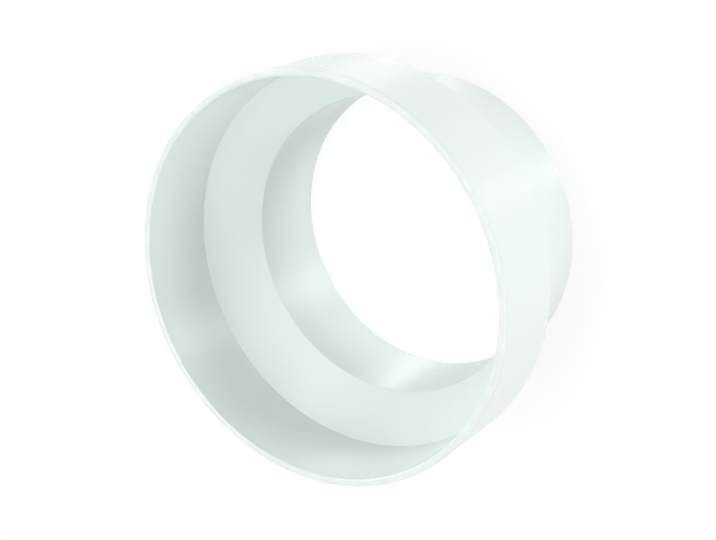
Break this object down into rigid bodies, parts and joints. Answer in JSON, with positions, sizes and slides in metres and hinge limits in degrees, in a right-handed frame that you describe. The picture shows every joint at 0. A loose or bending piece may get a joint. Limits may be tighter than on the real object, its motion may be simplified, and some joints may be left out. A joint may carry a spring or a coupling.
{
  "type": "duct reducer",
  "caption": "Round plastic duct reducer with a wide straight collar, a conical shoulder and a narrower straight collar, for joining a wide duct to a narrow one.",
  "frame": {"origin": "centre of the narrow end's face, on the axis of both collars", "axes": "+Z along the axis from the narrow end to the wide end; the part is the same all round, so X and Y are free"},
  "size_m": [0.1244, 0.1244, 0.0708],
  "materials": {
    "white_plastic": "gloss white, as moulded"
  },
  "bodies": {
    "root": {"duct_reducer": "white_plastic"}
  },
  "joints": []
}
